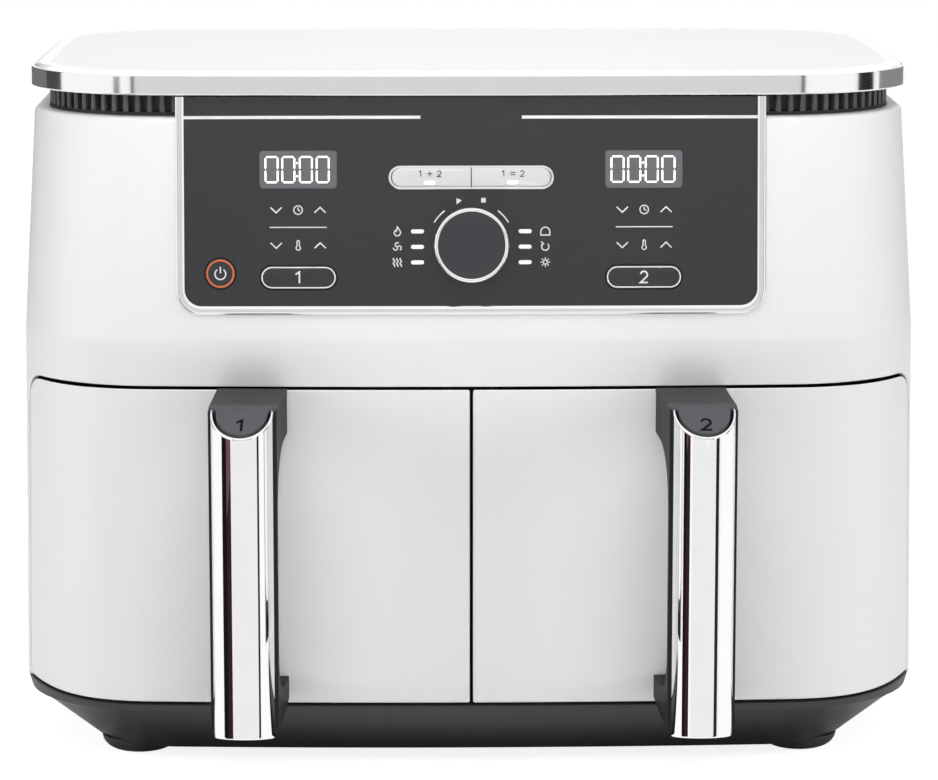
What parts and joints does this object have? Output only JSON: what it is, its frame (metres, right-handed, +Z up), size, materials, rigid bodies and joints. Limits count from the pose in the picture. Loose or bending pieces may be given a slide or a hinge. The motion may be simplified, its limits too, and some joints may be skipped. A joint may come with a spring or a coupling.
{
  "type": "air fryer",
  "caption": "Countertop air fryer with side-by-side cooking drawers, bright upright handles, a leaning control panel with a push-and-turn dial, and a vented lid.",
  "frame": {"origin": "on the surface it stands on, under the middle of its whole box, handles included", "axes": "+X to the right seen from the front, +Y to the back, +Z up; the handles point to -Y"},
  "size_m": [0.415, 0.337, 0.319],
  "materials": {
    "white_body": "smooth white moulding, soft gloss",
    "dark_base": "dark grey moulding, fine matt grain",
    "black_plastic": "black moulding, matt",
    "bright_trim": "polished chrome",
    "handle_bright": "polished chrome",
    "handle_dark": "dark grey, satin",
    "panel_face": "dark grey panel, gloss",
    "display_face": "smoked display window, gloss",
    "clear_lens": "pale light bar",
    "key_plastic": "dark grey key, gloss",
    "pale_key": "pale grey key, satin",
    "dial_face": "dark grey dial face, satin",
    "foot_rubber": "dark rubber, matt",
    "soft_rubber": "dark silicone, matt",
    "nonstick": "dark non-stick coating, fine speckle",
    "chamber_steel": "plain sheet steel",
    "heater_steel": "heat-dulled steel tube",
    "shaft_steel": "turned steel",
    "screw_steel": "zinc-plated steel",
    "fan_metal": "stamped aluminium",
    "motor_metal": "grey motor can",
    "switch_plastic": "black electrical plastic",
    "circuit_board": "green circuit board"
  },
  "bodies": {
    "housing": {"outer_shell": "white_body", "rear_grille": "white_body", "top_cover": "white_body", "cord_gland": "black_plastic", "base_tray": "dark_base", "bottom_plate": "dark_base", "base_screws": "screw_steel", "vent_collar": "black_plastic", "lid_trim": "bright_trim", "front_frame": "black_plastic", "control_panel": "panel_face", "panel_bezel": "bright_trim", "indicator_lenses": "clear_lens", "rocker_surround": "bright_trim", "encoder_body": "switch_plastic", "control_board": "circuit_board", "tact_switches": "switch_plastic", "power_board": "circuit_board", "foot_front_left": "foot_rubber", "foot_front_right": "foot_rubber", "foot_rear_left": "foot_rubber", "foot_rear_right": "foot_rubber", "chamber_1": "chamber_steel", "heater_1": "heater_steel", "motor_1": "motor_metal", "display_window_1": "display_face", "chamber_2": "chamber_steel", "heater_2": "heater_steel", "motor_2": "motor_metal", "display_window_2": "display_face"},
    "power_button": {"power_key": "key_plastic"},
    "mode_bar": {"mode_rocker": "pale_key"},
    "dial_plunger": {"encoder_plunger": "switch_plastic"},
    "dial": {"dial_cap": "dial_face", "dial_rim": "bright_trim", "dial_shaft": "shaft_steel"},
    "zone_button_1": {"zone_key_1": "key_plastic"},
    "rotor_1": {"motor_shaft_1": "shaft_steel", "convection_fan_1": "fan_metal", "cooling_fan_1": "switch_plastic"},
    "drawer_1": {"drawer_front_1": "white_body", "drawer_liner_1": "black_plastic", "basket_1": "nonstick", "handle_1": "handle_dark", "handle_cover_1": "handle_bright"},
    "plate_1": {"crisper_plate_1": "nonstick", "plate_bumpers_1": "soft_rubber"},
    "zone_button_2": {"zone_key_2": "key_plastic"},
    "rotor_2": {"motor_shaft_2": "shaft_steel", "convection_fan_2": "fan_metal", "cooling_fan_2": "switch_plastic"},
    "drawer_2": {"drawer_front_2": "white_body", "drawer_liner_2": "black_plastic", "basket_2": "nonstick", "handle_2": "handle_dark", "handle_cover_2": "handle_bright"},
    "plate_2": {"crisper_plate_2": "nonstick", "plate_bumpers_2": "soft_rubber"}
  },
  "joints": [
    {"name": "power_press", "type": "slide", "parent": "housing", "child": "power_button", "axis": [0, 0.9939, -0.1104], "range_m": [0, 0.0008], "stiffness_N_per_m": 600},
    {"name": "mode_rock", "type": "hinge", "parent": "housing", "child": "mode_bar", "pos_m": [0, -0.09267, 0.27149], "axis": [0, 0.1104, 0.9939], "range_deg": [-2, 2], "stiffness_Nm_per_rad": 1.2},
    {"name": "dial_press", "type": "slide", "parent": "housing", "child": "dial_plunger", "axis": [0, 0.9939, -0.1104], "range_m": [0, 0.0012], "stiffness_N_per_m": 1500},
    {"name": "dial_turn", "type": "hinge", "parent": "dial_plunger", "child": "dial", "pos_m": [0, -0.10174, 0.24231], "axis": [0, -0.9939, 0.1104], "continuous": true},
    {"name": "zone_1_press", "type": "slide", "parent": "housing", "child": "zone_button_1", "axis": [0, 0.9939, -0.1104], "range_m": [0, 0.0008], "stiffness_N_per_m": 600},
    {"name": "fan_1_spin", "type": "hinge", "parent": "housing", "child": "rotor_1", "pos_m": [-0.1015, 0.0435, 0.25], "axis": [0, 0, 1], "continuous": true},
    {"name": "drawer_1_slide", "type": "slide", "parent": "housing", "child": "drawer_1", "axis": [0, -1, 0], "range_m": [0, 0.25]},
    {"name": "plate_1_lift", "type": "slide", "parent": "drawer_1", "child": "plate_1", "axis": [0, 0, 1], "range_m": [0, 0.08]},
    {"name": "zone_2_press", "type": "slide", "parent": "housing", "child": "zone_button_2", "axis": [0, 0.9939, -0.1104], "range_m": [0, 0.0008], "stiffness_N_per_m": 600},
    {"name": "fan_2_spin", "type": "hinge", "parent": "housing", "child": "rotor_2", "pos_m": [0.1015, 0.0435, 0.25], "axis": [0, 0, 1], "continuous": true},
    {"name": "drawer_2_slide", "type": "slide", "parent": "housing", "child": "drawer_2", "axis": [0, -1, 0], "range_m": [0, 0.25]},
    {"name": "plate_2_lift", "type": "slide", "parent": "drawer_2", "child": "plate_2", "axis": [0, 0, 1], "range_m": [0, 0.08]}
  ]
}
